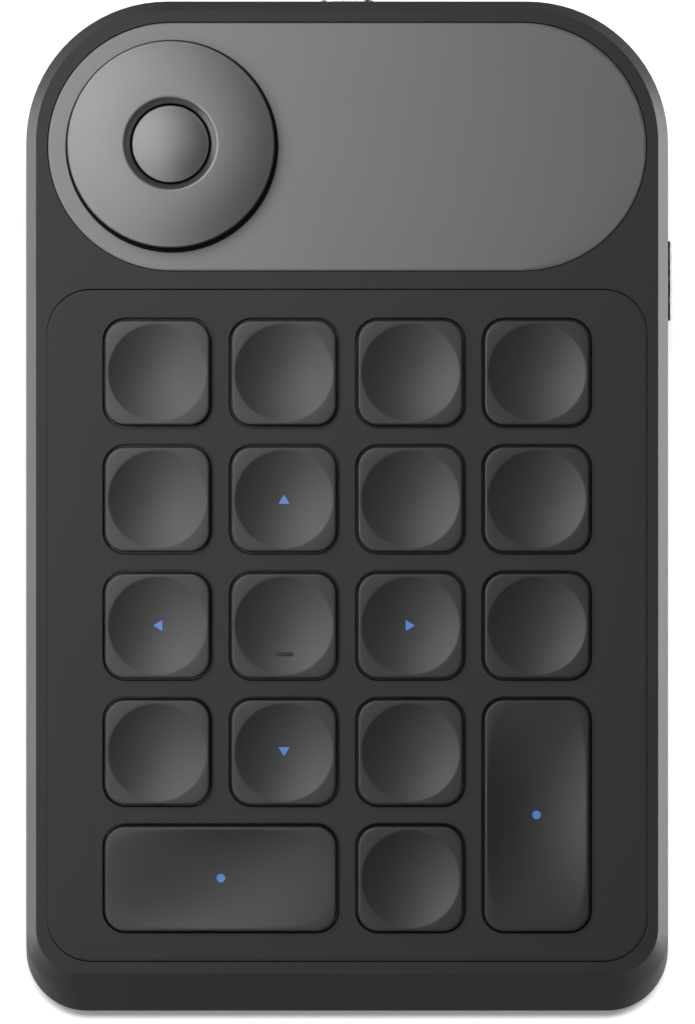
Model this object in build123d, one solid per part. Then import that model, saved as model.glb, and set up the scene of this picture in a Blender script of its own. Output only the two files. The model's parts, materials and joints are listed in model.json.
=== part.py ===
from build123d import *
import math
import os

# Macro keypad with a dial: a wedge-shaped wireless desk keypad. Millimetres, +X right, +Y towards
# the dial, +Z up. The origin is on the desk, under the middle of the case.
#
# The keys, the dial and all that carries them are drawn in the deck frame: the same X, with its
# plane z = 0 on the top face of the case. A depth is a distance below that face. seat() tips the
# deck frame onto the desk. The bottom shell, the feet and the screws are drawn upright.

# ---- key grid: one letter for each key, and a letter that stands twice is a two-unit key ----
key_map = ("abcd", "efgh", "ijkl", "mnot", "wwpt")
home_letter = "j"
key_pitch = 21.13
key_bar = 2.57            # deck left between two openings
opening_radius = 3.9

# ---- key deck: its borders round the key grid, and how it sits in the top shell ----
deck_side_border = 9.32
deck_end_border = 4.64
deck_radius = 7.4
deck_rise = 0.3           # the deck stands this much above the top face
deck_seat = 1.7           # depth of the ledge that the deck rests on
deck_side_gap = 0.05
deck_end_gap = 0.2
deck_edge_run = 0.6       # shallow bevel round the deck
deck_edge_drop = 0.25
window_gap = 1.0          # room round the keys' flanges in the top shell's window
window_radius = 3.0

# ---- case: borders round the deck and the dial panel, bevels and walls ----
front_border = 9.47
side_border = 4.155
rear_border = 4.4
web = 3.27                # top face left between the deck and the panel
panel_width = 41.5
panel_side_border = 4.35
tilt = 2.0                # slope of the top face, higher at the dial end
edge_run = 1.9            # bevel round the sides and the back of the top face
edge_drop = 2.0
side_flare = 0.45         # draft of the walls between the bevel and the toe of the front bevel
front_run = 7.3           # long bevel at the front
front_drop = 5.8
rear_radius = 24.2        # corners seen from above, at their widest
front_radius = 10.3
front_radius_gain = 2.75  # growth of the front corners down the long bevel
top_edge_round = 0.25
wall = 2.0
front_wall = 2.6
roof = 3.2                # depth of the inside of the top shell
parting = 3.0             # height of the joint line above the desk

# ---- bottom shell ----
foot_height = 1.0
floor_thickness = 1.6
undercut = 1.6
lip_height = 1.4
lip_thickness = 1.2
lip_gap = 0.2
lip_front = 5.2           # the lip keeps clear of the sloping front wall
floor_ribs = 4
floor_rib_pitch = 20.0
floor_rib = 0.9
floor_rib_height = 0.8

# ---- feet and case screws ----
foot_length = 18.0
foot_width = 6.0
foot_recess = 0.5
foot_gap = 0.1
foot_side_room = 18.45    # from a pad's middle to the case's side, front and back
foot_front_room = 15.15
foot_rear_room = 19.85
screw_side_room = 7.25    # from a case screw to the case's side, front and back
screw_front_room = 19.15
screw_rear_room = 6.95
screw_deck_room = 22.7    # from the middle screws to the deck's back edge
rear_screw_x = 22.0
case_boss_radius = 2.5
case_seat_radius = 3.2
case_seat_top = 4.0       # where the bosses of the two shells meet
screw_head_radius = 1.9
screw_head_height = 1.1
screw_head_gap = 0.2
screw_head_recess = 0.3
screw_radius = 1.0
screw_tip = 6.3
pilot_spare = 0.3
thread_gap = 0.02
driver_reach = 1.33
driver_width = 0.5
driver_depth = 0.5

# ---- dial panel ----
panel_thickness = 1.5
panel_gap = 0.17
panel_edge_run = 0.35
panel_edge_drop = 0.15

# ---- keycaps ----
cap_gap = 0.46
cap_stand = 1.2           # cap above the deck
cap_draft = 0.1
cap_edge = 0.3
dish_land = 0.62          # flat left between the finger dish and the cap's side
dish_depth = 1.1
dish_fade = 0.6           # how early a long dish gets shallower towards its ends, from 0 to 1
dish_corner = 0.19        # how much the corners of a long dish are rounded, from 0 to 1
patch_reach = 1.06        # the patch that cuts a long dish, in half lengths of the dish
cap_roof = 1.0            # thickness under the middle of the dish
cap_wall = 1.2
flange_overlap = 0.7
flange_top = 1.8
flange_thickness = 0.6
travel = 1.6
stem_radius = 3.95
stem_bore = 3.15
stem_depth = 3.2
plunger_radius = 1.5
home_bar_length = 2.97
home_bar_width = 0.6
home_bar_height = 0.25
home_bar_offset = 4.76    # in front of the key's middle

# ---- key frame, dome sheet and main board ----
frame_margin = 1.9        # the frame's border round the key grid
frame_radius = 2.0
frame_top = 4.1
frame_thickness = 0.9
slide_gap = 0.05
chimney_top = 2.6
chimney_wall = 0.9
dome_top_depth = 2.65
dome_base_radius = 3.0
dome_top_radius = 1.8
dome_wall = 0.4
dome_gap = 0.1            # play between a dome and the plunger over it
sheet_thickness = 0.4
sheet_inset = 0.6
board_thickness = 1.0
board_floor_gap = 0.25    # under the board's front edge, and so the height of the whole deck
board_rear_room = 3.3     # main board behind the middle of the power button, and before it
board_tab_length = 8.1
stud_map = ("s.s", ".s.", "s.s", ".s.")  # corners between the keys that carry a screw stud
stud_radius = 2.1
frame_screw_radius = 0.8
frame_screw_bite = 2.6    # how far its thread stands into the deck's stud
frame_head_radius = 1.7
frame_head_height = 0.75
frame_hole_gap = 0.15

# ---- wire stabilisers of the two long keys ----
wire_radius = 0.4
wire_bend = 0.75
arm_half_span = 14.0
arm_length = 7.0
bar_offset = 6.2
bar_depth = 3.6
tip_length = 1.7
clip_half_span = 8.0
clip_thickness = 1.5
clip_width = 1.8
clip_top = 2.95
lug_thickness = 0.9
lug_length = 2.8
lug_depth = 2.9
lug_slot = 1.3
lug_window_gap = 0.3

# ---- dial ----
dial_radius = 17.8
dial_lift = 0.3
skirt_top = 2.4
skirt_top_radius = 17.4
skirt_wall = 1.2
skirt_web = 1.0
ring_radius = 17.26
ring_shoulder = 2.72
ring_round_radius = 16.85
ring_rim_height = 3.1
ring_crown_radius = 12.3
ring_crown_height = 3.64
ring_lip_height = 3.9
sink_radius = 7.6
sink_foot_height = 2.85
ring_bore = 6.75
washer_inner = 9.6
washer_outer = 15.6
washer_thickness = 0.25

# ---- encoder under the dial ----
panel_hole_radius = 8.0
hub_radius = 6.4
hub_top = 1.3
hub_flange_radius = 8.6
hub_flange_thickness = 0.8
skirt_boss_radius = 7.6
skirt_boss_depth = 2.8
post_radius = 5.0
post_bore = 4.0
post_top = 1.0
wheel_depth = 4.6
wheel_thickness = 0.5
wheel_radius = 12.0
wheel_slots = 24
wheel_slot_inner = 9.6
wheel_slot_outer = 11.3
wheel_slot_width = 1.0
encoder_radius = 9.0
encoder_top = 6.0
dial_board_top = 8.0
sensor_reach = 3.4
sensor_width = 4.6
sensor_depth_top = 3.6
sensor_jaw_gap = 0.45
sensor_inner = 9.2

# ---- centre button ----
button_radius = 6.5
button_foot = 1.95
button_rim = 3.05
button_shoulder_radius = 6.2
button_shoulder = 3.3
button_crown = 3.75
button_stem_gap = 0.06
button_stem_depth = 5.8
button_travel = 0.4
switch_size = 5.0
switch_height = 1.6
actuator_radius = 1.1
actuator_depth = 7.0
actuator_gap = 0.1

# ---- dial board, its posts, and the connector between the boards ----
dial_board_side_room = 7.45
dial_board_rear_room = 3.45
dial_board_front_room = 5.05  # behind the panel's front edge
dial_board_reach = 5.0        # to the right of the case's middle
dial_board_corner_room = 6.7  # how much smaller its round corner is than the case's
board_screw_inset = (5.0, 4.5)     # from the board's left and front edges
board_screw_right = (3.8, 16.4)    # from its right and back edges
board_screw_rear = (2.8, 10.4)     # from its left and back edges
board_post_radius = 2.2
boss_notch_gap = 0.6
flex_room = 12.0              # from the ribbon's middle to the board's right edge
flex_width = 8.0
flex_thickness = 0.25
socket_width = 10.0
socket_length = 3.4
socket_height = 1.2

# ---- USB-C port ----
usb_width = 8.94
usb_height = 3.26
usb_wall = 0.3
usb_length = 7.35
usb_proud = 0.45
usb_slot_gap = 0.2
tongue_width = 6.7
tongue_thickness = 0.7
tongue_length = 4.9
tongue_block = 1.6

# ---- power button on the right side ----
power_deck_room = 1.9     # from the button's middle forward to the deck's back edge
power_length = 13.4
power_height = 2.2
power_depth = 5.2
power_proud = 0.5
power_chamfer = 0.35
power_gap = 0.12
power_flange = 0.6
power_flange_thickness = 1.0
power_travel = 0.3
power_nub_width = 3.0
power_nub_room = 4.65     # from the nub's tip, and the switch's parts, to the case's belt line
power_actuator_room = 6.6
power_switch_room = 5.4
power_switch_length = 4.2
power_switch_width = 7.0
power_switch_height = 1.8
power_actuator_width = 2.2
power_actuator_height = 1.0

# ---- battery and its leads ----
battery_left_room = 4.5   # to the dial board
battery_right_room = 8.95
battery_front_room = 5.45
battery_rear_room = 10.45
battery_thickness = 5.0
battery_round = 1.2
tray_wall = 0.9
tray_height = 3.0
tray_gap = 0.15
tray_wall_length = 12.0
lead_radius = 0.4
lead_heights = (4.9, 5.9)
lead_bend = 2.3
lead_turn_room = 2.8      # from the battery's left side to the leads, and to the plug
lead_plug_room = 8.0
plug_board_room = 2.3     # from the plug to the main board's back edge
plug_length = 3.0
plug_width = 4.0
plug_height = 2.6
plug_height_above_desk = 5.4
battery_socket_length = 3.6

# ---- electronic parts on the main board: x, distance to its back edge, width, length, height ----
chips_below = ((-30.0, 21.5, 6.0, 6.0, 0.9), (-6.0, 29.5, 12.0, 9.0, 1.8), (18.0, 19.5, 4.0, 4.0, 1.0))
chips_above = ((-26.0, 3.9, 3.2, 1.6, 0.8), (8.0, 3.9, 3.2, 1.6, 0.8))

# ---- derived sizes: the key grid sets the deck, and the deck sets the case ----
grid_columns = len(key_map[0])
grid_rows = len(key_map)
opening_size = key_pitch - key_bar
field_width = (grid_columns - 1) * key_pitch + opening_size
field_length = (grid_rows - 1) * key_pitch + opening_size
deck_width = field_width + 2 * deck_side_border
deck_length = field_length + 2 * deck_end_border
body_width = deck_width + 2 * side_border
body_length = front_border + deck_length + web + panel_width + rear_border
belt_x = body_width / 2 - side_flare
field_y = -body_length / 2 + front_border + deck_length / 2
deck_back = field_y + deck_length / 2
panel_length = body_width - 2 * panel_side_border
panel_y = body_length / 2 - rear_border - panel_width / 2
panel_front = panel_y - panel_width / 2
dial_x = (panel_width - panel_length) / 2

cap_half = opening_size / 2 - cap_gap
cap_radius = opening_radius - cap_gap
dish_radius = cap_half - dish_land
cap_top = deck_rise + cap_stand
cap_inside = cap_top - dish_depth - cap_roof
flange_bottom = flange_top + flange_thickness
frame_bottom = frame_top + frame_thickness
sheet_bottom = frame_bottom + sheet_thickness
board_bottom = sheet_bottom + board_thickness
floor_top = foot_height + floor_thickness

power_y = deck_back + power_deck_room
power_nub_tip = belt_x - power_nub_room
power_actuator_inner = belt_x - power_actuator_room
tab_reach = belt_x - power_switch_room
board_back = power_y + board_rear_room
dial_board_left = -body_width / 2 + dial_board_side_room
dial_board_front = panel_front + dial_board_front_room
dial_board_back = body_length / 2 - dial_board_rear_room
flex_x = dial_board_reach - flex_room
battery_x = (dial_board_reach + battery_left_room, body_width / 2 - battery_right_room)
battery_y = (panel_front + battery_front_room, body_length / 2 - battery_rear_room)
lead_turn_x = battery_x[0] + lead_turn_room
plug_x = battery_x[0] + lead_plug_room
plug_y = board_back - plug_board_room
foot_x = body_width / 2 - foot_side_room
foot_y = (-body_length / 2 + foot_front_room, body_length / 2 - foot_rear_room)
screw_x = body_width / 2 - screw_side_room

# ---- derived places: the top face stands as high above the desk as the sloping board needs ----
tilt_sin = math.sin(math.radians(tilt))
tilt_cos = math.cos(math.radians(tilt))
board_front = field_y - field_length / 2 - frame_margin
deck_height = floor_top + board_floor_gap + board_bottom * tilt_cos - board_front * tilt_sin


def depth_at(deck_y, height):
    """Depth below the top face, at deck_y, of a point that is height above the desk."""
    return (deck_height + deck_y * tilt_sin - height) / tilt_cos


back_depth = depth_at(body_length / 2, parting)
back_reach = body_length / 2 * tilt_cos + back_depth * tilt_sin
front_depth = depth_at(-body_length / 2, parting)
front_reach = body_length / 2 * tilt_cos - front_depth * tilt_sin
shift_y = (front_reach - back_reach) / 2
half_length = (front_reach + back_reach) / 2
deck_place = Location((0, shift_y, deck_height), (tilt, 0, 0))


def seat(shape):
    """Moves a shape from the deck frame to its place over the desk."""
    return deck_place * shape


def slab(sketch, low, high):
    """A sketch given thickness from height low to height high."""
    return Pos(0, 0, low) * extrude(sketch, high - low)


def rod(x, y, radius, low, high):
    """An upright cylinder from height low to height high."""
    return Pos(x, y, low) * extrude(Circle(radius), high - low)


def block(x, y, width, length, low, high):
    """An upright box, centred on x and y."""
    return Pos(x, y, 0) * slab(Rectangle(width, length), low, high)


def ball_radius(reach, height):
    """Radius of the ball whose cap is height high and reaches out by reach."""
    return (reach**2 + height**2) / (2 * height)


def rounded_outline(half_width, front, back, front_corner, back_corner):
    """A four-sided outline with one radius for its back corners and one for its front corners."""
    face = Pos(0, (front + back) / 2) * Rectangle(2 * half_width, back - front)
    face = fillet(face.vertices().group_by(Axis.Y)[-1], back_corner)
    return fillet(face.vertices().group_by(Axis.Y)[0], front_corner)


def case_section(depth, inset=0.0, front_inset=0.0):
    """The case's outline at a depth, drawn in by inset, on its own plane."""
    above_belt = 1 - min(depth / edge_drop, 1)
    above_toe = 1 - min(depth / front_drop, 1)
    flare = side_flare * min((front_drop - min(depth, front_drop)) / (front_drop - edge_drop), 1)
    rim = edge_run * above_belt + flare + inset
    front = -body_length / 2 + front_run * above_toe + front_inset
    face = rounded_outline(
        body_width / 2 - rim,
        front,
        body_length / 2 - rim,
        front_radius - front_radius_gain * above_toe - inset,
        rear_radius - rim,
    )
    return Pos(0, 0, -depth) * face


def desk_section(height, inset, front_inset):
    """The case's outline at the joint line, drawn in, at a height above the desk."""
    face = rounded_outline(
        body_width / 2 - inset,
        -half_length + front_inset,
        half_length - inset,
        front_radius - inset,
        rear_radius - inset,
    )
    return Pos(0, 0, height) * face


def all_keys():
    """Each key: its letter, its name, its middle in the deck frame, and its size in grid units."""
    keys = []
    for letter in dict.fromkeys("".join(key_map)):
        lines = [line for line in key_map if letter in line]
        row = key_map.index(lines[0])
        column = lines[0].index(letter)
        columns = lines[0].count(letter)
        rows = len(lines)
        name = f"r{row + 1}c{column + 1}"
        if columns != rows:
            name = "wide" if columns > rows else "tall"
        x = (column + (columns - grid_columns) / 2) * key_pitch
        y = field_y - (row + (rows - grid_rows) / 2) * key_pitch
        keys.append((letter, name, x, y, columns, rows))
    return keys


def key_outline(columns, rows, grow, radius):
    """A rounded key outline for an opening grown or shrunk on every side."""
    width = opening_size + (columns - 1) * key_pitch + 2 * grow
    length = opening_size + (rows - 1) * key_pitch + 2 * grow
    return RectangleRounded(width, length, radius)


def case_screw_places():
    """Two screws at the front, two beside the deck's back part, two at the rear."""
    front = -body_length / 2 + screw_front_room
    middle = deck_back - screw_deck_room
    rear = body_length / 2 - screw_rear_room
    spots = ((screw_x, front), (screw_x, middle), (rear_screw_x, rear))
    return [(side * x, y) for x, y in spots for side in (-1, 1)]


def dial_board_screws():
    """The three screws of the dial board, each set in from two of its edges."""
    return [
        (dial_board_left + board_screw_inset[0], dial_board_front + board_screw_inset[1]),
        (dial_board_reach - board_screw_right[0], dial_board_back - board_screw_right[1]),
        (dial_board_left + board_screw_rear[0], dial_board_back - board_screw_rear[1]),
    ]


# ---- top shell ----
def make_case():
    """The whole wedge, solid, from the top face to below the desk."""
    bottom = back_depth + parting
    sections = [case_section(depth) for depth in (0, edge_drop, front_drop, bottom)]
    solid = loft(sections, ruled=True)
    rim = solid.faces().sort_by(Axis.Z)[-1].edges()
    return fillet(rim, top_edge_round)


def make_cavity():
    """The room inside the top shell, open at the bottom."""
    depths = (roof, front_drop, back_depth + 2 * parting)
    return loft([case_section(depth, wall, front_wall) for depth in depths], ruled=True)


def port_plane(y):
    """A plane across the rear wall, centred on the port and facing the inside."""
    return Plane(origin=(0, y, usb_height / 2 - dial_board_top), x_dir=(1, 0, 0), z_dir=(0, -1, 0))


def side_plane(x):
    """A plane across the right wall, centred on the power button and facing outwards."""
    return Plane(origin=(x, power_y, -power_depth), x_dir=(0, 1, 0), z_dir=(1, 0, 0))


def make_top_shell():
    shell = make_case() - make_cavity()
    pocket_width = deck_width + 2 * deck_side_gap
    pocket_length = deck_length + 2 * deck_end_gap
    deck_pocket = RectangleRounded(pocket_width, pocket_length, deck_radius)
    margin = flange_overlap + window_gap
    deck_window = RectangleRounded(field_width + 2 * margin, field_length + 2 * margin, window_radius)
    shell -= Pos(0, field_y, 0) * slab(deck_pocket, -deck_seat, edge_drop)
    shell -= Pos(0, field_y, 0) * slab(deck_window, -roof - wall, edge_drop)
    panel_pocket = SlotOverall(panel_length + 2 * panel_gap, panel_width + 2 * panel_gap)
    shell -= Pos(0, panel_y, 0) * slab(panel_pocket, -panel_thickness, edge_drop)
    shell -= rod(dial_x, panel_y, panel_hole_radius, -roof - wall, edge_drop)
    port = SlotOverall(usb_width + 2 * usb_slot_gap, usb_height + 2 * usb_slot_gap)
    shell -= extrude(port_plane(body_length / 2 + wall) * port, 3 * wall)
    button_slot = Rectangle(power_length + 2 * power_gap, power_height + 2 * power_gap)
    shell -= extrude(side_plane(body_width / 2 - 2 * wall) * button_slot, 4 * wall)
    shell = seat(shell)
    shell -= block(0, 0, 2 * body_width, 2 * body_length, -4 * parting, parting)
    for x, y in case_screw_places():
        boss_top = deck_height + y * tilt_sin - (deck_seat + roof) / 2
        shell += rod(x, y, case_boss_radius, case_seat_top, boss_top)
    for x, y in case_screw_places():
        shell -= rod(x, y, screw_radius, case_seat_top - wall, screw_tip + pilot_spare)
    return shell


# ---- key deck and dial panel ----
def stud_places():
    """Where the frame's screws stand, in corners between keys."""
    places = []
    for row, line in enumerate(stud_map):
        for column, mark in enumerate(line):
            x = (column + 1 - grid_columns / 2) * key_pitch
            y = field_y - (row + 1 - grid_rows / 2) * key_pitch
            if mark == "s":
                places.append((x, y))
    return places


def make_key_deck():
    plate = RectangleRounded(deck_width, deck_length, deck_radius)
    run = deck_edge_run
    top = RectangleRounded(deck_width - 2 * run, deck_length - 2 * run, deck_radius - run)
    edge = deck_rise - deck_edge_drop
    deck = slab(plate, -deck_seat, edge)
    deck += loft([Pos(0, 0, edge) * plate, Pos(0, 0, deck_rise) * top], ruled=True)
    deck = Pos(0, field_y, 0) * deck
    for _, _, x, y, columns, rows in all_keys():
        hole = key_outline(columns, rows, 0, opening_radius)
        deck -= Pos(x, y, 0) * slab(hole, -deck_seat - wall, deck_rise + wall)
    for x, y in stud_places():
        deck += rod(x, y, stud_radius, -frame_top, -deck_seat)
        deck -= rod(x, y, frame_screw_radius + thread_gap, -frame_top - wall, frame_screw_bite - frame_top)
    return seat(deck)


def make_dial_panel():
    outline = SlotOverall(panel_length, panel_width)
    top = SlotOverall(panel_length - 2 * panel_edge_run, panel_width - 2 * panel_edge_run)
    panel = slab(outline, -panel_thickness, -panel_edge_drop)
    panel += loft([Pos(0, 0, -panel_edge_drop) * outline, top], ruled=True)
    hole = rod(dial_x, panel_y, panel_hole_radius, -2 * panel_thickness, panel_thickness)
    return seat(Pos(0, panel_y, 0) * panel - hole)


# ---- keycaps ----
def round_dish():
    """The ball that leaves the finger dish in a one-unit cap."""
    ball = ball_radius(dish_radius, dish_depth)
    return Pos(0, 0, cap_top - dish_depth + ball) * Sphere(ball)


def even_quartic(square, fourth, constant=0):
    """Bezier heights of constant + square x^2 + fourth x^4, from one side of a patch to the other."""
    square *= patch_reach**2
    fourth *= patch_reach**4
    side = constant + square + fourth
    next_side = constant - fourth
    return [side, next_side, constant - square / 3 + fourth, next_side, side]


def long_dish(columns, rows):
    """The pillow that leaves the dish in a cap two units wide or two units tall.

    Its underside is one Bezier patch of five lines by five points. With u along the key, v across
    it and both 1 at the rim of the dish, the depth is (1 - u^2)(1 - f u^2)(1 - v^2) - r u^4 v^4:
    f is dish_fade and makes the bowl shallower towards its ends, r is dish_corner and rounds the
    corners of its outline.
    """
    stations = [step / 2 for step in range(-2, 3)]
    half = [(count - 1) * key_pitch / 2 + dish_radius for count in (columns, rows)]
    length, width = max(half), min(half)
    along = even_quartic(-1 - dish_fade, dish_fade, 1)
    across = even_quartic(-1, 0, 1)
    corner = even_quartic(0, 1)
    net = []
    for i, u in enumerate(stations):
        line = []
        for j, v in enumerate(stations):
            bowl = along[i] * across[j] - dish_corner * corner[i] * corner[j]
            height = cap_top - dish_depth * bowl
            line.append((patch_reach * u * length, patch_reach * v * width, height))
        net.append(line)
    pillow = extrude(Face.make_bezier_surface(net), cap_roof + 2 * dish_depth, dir=(0, 0, 1))
    return pillow if columns > rows else Rot(0, 0, 90) * pillow


def make_keycap(columns, rows, home):
    """One cap in its own frame: finger dish, skirt, retaining flange and guide stem."""
    top = key_outline(columns, rows, -cap_gap - cap_draft, cap_radius - cap_draft)
    foot = key_outline(columns, rows, -cap_gap, cap_radius)
    cap = loft([Pos(0, 0, -flange_top) * foot, Pos(0, 0, cap_top) * top], ruled=True)
    cap = chamfer(cap.faces().sort_by(Axis.Z)[-1].edges(), cap_edge)
    cap -= round_dish() if columns == rows else long_dish(columns, rows)
    flange = key_outline(columns, rows, flange_overlap, opening_radius + flange_overlap)
    cap += slab(flange, -flange_bottom, -flange_top)
    inside = key_outline(columns, rows, -cap_gap - cap_wall, cap_radius - cap_wall)
    cap -= slab(inside, -flange_bottom - wall, cap_inside)
    cap += rod(0, 0, stem_radius, -stem_depth, cap_inside)
    cap -= rod(0, 0, stem_bore, -stem_depth - wall, cap_inside)
    cap += rod(0, 0, plunger_radius, dome_gap - dome_top_depth, cap_inside)
    if home:
        bar = block(0, -home_bar_offset, home_bar_length, home_bar_width, 0, cap_top)
        cap += bar - Pos(0, 0, home_bar_height) * round_dish()
    if columns > 1 or rows > 1:
        for side in (-1, 1):
            cap += turned(make_lug(side), rows)
    return cap


def turned(shape, rows):
    """Turns a stabiliser part from the wide key's direction to the tall key's."""
    return Rot(0, 0, 90) * shape if rows > 1 else shape


def lug_x(side):
    return side * (arm_half_span - tip_length / 2 - wire_radius)


def tip_y():
    """Middle of the lug's slot, halfway along the path of the swinging tip."""
    return (arm_length + math.hypot(arm_length, travel)) / 2 - bar_offset


def make_lug(side):
    """The slotted ear under a long cap that the end of the stabiliser wire rides in."""
    ear = block(lug_x(side), tip_y(), lug_thickness, lug_length, -lug_depth, cap_inside)
    hole_plane = Plane(
        origin=(lug_x(side) - lug_thickness, tip_y(), travel - bar_depth), x_dir=(0, 1, 0), z_dir=(1, 0, 0)
    )
    hole = SlotOverall(lug_slot, 2 * (wire_radius + slide_gap))
    return ear - extrude(hole_plane * hole, 2 * lug_thickness)


# ---- stabilisers ----
def make_stabiliser():
    """A bent steel wire: a long bar in the frame's clips, two arms, two turned-in tips."""
    tip_height = travel - bar_depth
    points = [(arm_half_span - tip_length, arm_length - bar_offset, tip_height)]
    points.append((arm_half_span, arm_length - bar_offset, tip_height))
    points.append((arm_half_span, -bar_offset, -bar_depth))
    points += [(-x, y, z) for x, y, z in reversed(points)]
    path = FilletPolyline(*points, radius=wire_bend)
    section = Plane(origin=path @ 0, z_dir=path % 0) * Circle(wire_radius)
    return sweep(section, path=path)


def make_clips():
    """Two eyes on the key frame that the stabiliser's bar turns in."""
    clips = []
    for side in (-1, 1):
        x = side * clip_half_span
        eye = block(x, -bar_offset, clip_thickness, clip_width, -frame_top, -clip_top)
        bore_plane = Plane(
            origin=(x - clip_thickness, -bar_offset, -bar_depth), x_dir=(0, 1, 0), z_dir=(1, 0, 0)
        )
        clips.append(eye - extrude(bore_plane * Circle(wire_radius + slide_gap), 2 * clip_thickness))
    return clips


# ---- key frame, dome sheet, main board ----
def frame_plate(inset, back):
    """The outline shared by the key frame, the dome sheet and the board."""
    margin = frame_margin - inset
    front = field_y - field_length / 2 - margin
    outline = RectangleRounded(field_width + 2 * margin, back - inset - front, frame_radius)
    return Pos(0, (front + back - inset) / 2) * outline


def frame_back():
    """Back edge of the key frame and the dome sheet."""
    return field_y + field_length / 2 + frame_margin


def make_key_frame():
    frame = slab(frame_plate(0, frame_back()), -frame_bottom, -frame_top)
    bore = stem_radius + slide_gap
    for _, _, x, y, columns, rows in all_keys():
        frame += rod(x, y, bore + chimney_wall, -frame_bottom, -chimney_top)
        frame -= rod(x, y, bore, -frame_bottom - wall, -chimney_top + wall)
        if columns > 1 or rows > 1:
            for clip in make_clips():
                frame += Pos(x, y, 0) * turned(clip, rows)
            for side in (-1, 1):
                window = block(
                    lug_x(side),
                    tip_y(),
                    lug_thickness + 2 * lug_window_gap,
                    lug_length + 2 * lug_window_gap,
                    -frame_bottom - wall,
                    -frame_top + wall,
                )
                frame -= Pos(x, y, 0) * turned(window, rows)
    for x, y in stud_places():
        frame -= rod(x, y, frame_screw_radius + frame_hole_gap, -frame_bottom - wall, -frame_top + wall)
    return seat(frame)


def make_dome_sheet():
    sheet = slab(frame_plate(sheet_inset, frame_back()), -sheet_bottom, -frame_bottom)
    rise = frame_bottom - dome_top_depth
    dome = Cone(dome_base_radius, dome_top_radius, rise, align=(Align.CENTER, Align.CENTER, Align.MIN))
    hollow = Cone(
        dome_base_radius - dome_wall,
        dome_top_radius - dome_wall,
        rise + sheet_thickness - dome_wall,
        align=(Align.CENTER, Align.CENTER, Align.MIN),
    )
    for _, _, x, y, _, _ in all_keys():
        sheet += Pos(x, y, -frame_bottom) * dome
        sheet -= Pos(x, y, -sheet_bottom) * hollow
    for x, y in stud_places():
        sheet -= rod(x, y, frame_screw_radius + frame_hole_gap, -sheet_bottom - wall, -frame_bottom + wall)
    return seat(sheet)


def make_main_board():
    board = slab(frame_plate(0, board_back), -board_bottom, -sheet_bottom)
    tab_y = board_back - board_tab_length / 2
    board += block(tab_reach / 2, tab_y, tab_reach, board_tab_length, -board_bottom, -sheet_bottom)
    for x, y in stud_places():
        board -= rod(x, y, frame_screw_radius + frame_hole_gap, -board_bottom - wall, -sheet_bottom + wall)
    return seat(board)


def make_board_chips():
    chips = []
    for x, room, width, length, height in chips_below:
        low = -board_bottom - height
        chips.append(block(x, board_back - room, width, length, low, -board_bottom))
    for x, room, width, length, height in chips_above:
        chips.append(block(x, board_back - room, width, length, -sheet_bottom, height - sheet_bottom))
    return seat(Compound(children=chips))


def make_frame_screws():
    screws = []
    for x, y in stud_places():
        screw = rod(x, y, frame_screw_radius, -board_bottom, frame_screw_bite - frame_top - thread_gap)
        screw += rod(x, y, frame_head_radius, -board_bottom - frame_head_height, -board_bottom)
        screws.append(screw)
    return seat(Compound(children=screws))


# ---- dial ----
def turn_on_dial(face):
    """Revolves a half profile, drawn as radius and height, about the dial's axis."""
    solid = revolve(Plane.XZ * face, Axis.Z)
    return seat(Pos(dial_x, panel_y, 0) * solid)


def make_dial_ring():
    outer = Polyline((ring_bore, skirt_top), (ring_radius, skirt_top), (ring_radius, ring_shoulder))
    eighth = math.sqrt(0.5)
    shoulder = ThreePointArc(
        (ring_radius, ring_shoulder),
        (
            ring_round_radius + (ring_radius - ring_round_radius) * eighth,
            ring_shoulder + (ring_rim_height - ring_shoulder) * eighth,
        ),
        (ring_round_radius, ring_rim_height),
    )
    crown = ThreePointArc(
        (ring_round_radius, ring_rim_height),
        (ring_crown_radius, ring_crown_height),
        (sink_radius, ring_lip_height),
    )
    sink = Polyline((sink_radius, ring_lip_height), (ring_bore, sink_foot_height), (ring_bore, skirt_top))
    return turn_on_dial(make_face([outer, shoulder, crown, sink]))


def make_dial_skirt():
    web_bottom = skirt_top - skirt_web
    profile = Polyline(
        (hub_radius, -skirt_boss_depth),
        (skirt_boss_radius, -skirt_boss_depth),
        (skirt_boss_radius, web_bottom),
        (dial_radius - skirt_wall, web_bottom),
        (dial_radius - skirt_wall, dial_lift),
        (dial_radius, dial_lift),
        (skirt_top_radius, skirt_top),
        (ring_bore, skirt_top),
        (ring_bore, hub_top),
        (hub_radius, hub_top),
        close=True,
    )
    return turn_on_dial(make_face(profile))


def make_dial_hub():
    bore = post_radius + slide_gap
    flange_top_depth = wheel_depth + wheel_thickness
    flange_bottom_depth = flange_top_depth + hub_flange_thickness
    profile = Polyline(
        (bore, -flange_bottom_depth),
        (hub_flange_radius, -flange_bottom_depth),
        (hub_flange_radius, -flange_top_depth),
        (hub_radius, -flange_top_depth),
        (hub_radius, hub_top),
        (bore, hub_top),
        close=True,
    )
    return turn_on_dial(make_face(profile))


def make_code_wheel():
    """The encoder's slotted disc."""
    slot_length = wheel_slot_outer - wheel_slot_inner
    slot_middle = (wheel_slot_outer + wheel_slot_inner) / 2
    disc = Circle(wheel_radius) - Circle(hub_radius)
    disc -= PolarLocations(slot_middle, wheel_slots) * Rectangle(slot_length, wheel_slot_width)
    return seat(Pos(dial_x, panel_y, 0) * slab(disc, -wheel_depth - wheel_thickness, -wheel_depth))


def make_glide_washer():
    ring = Circle(washer_outer) - Circle(washer_inner)
    return seat(Pos(dial_x, panel_y, 0) * slab(ring, 0, washer_thickness))


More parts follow.
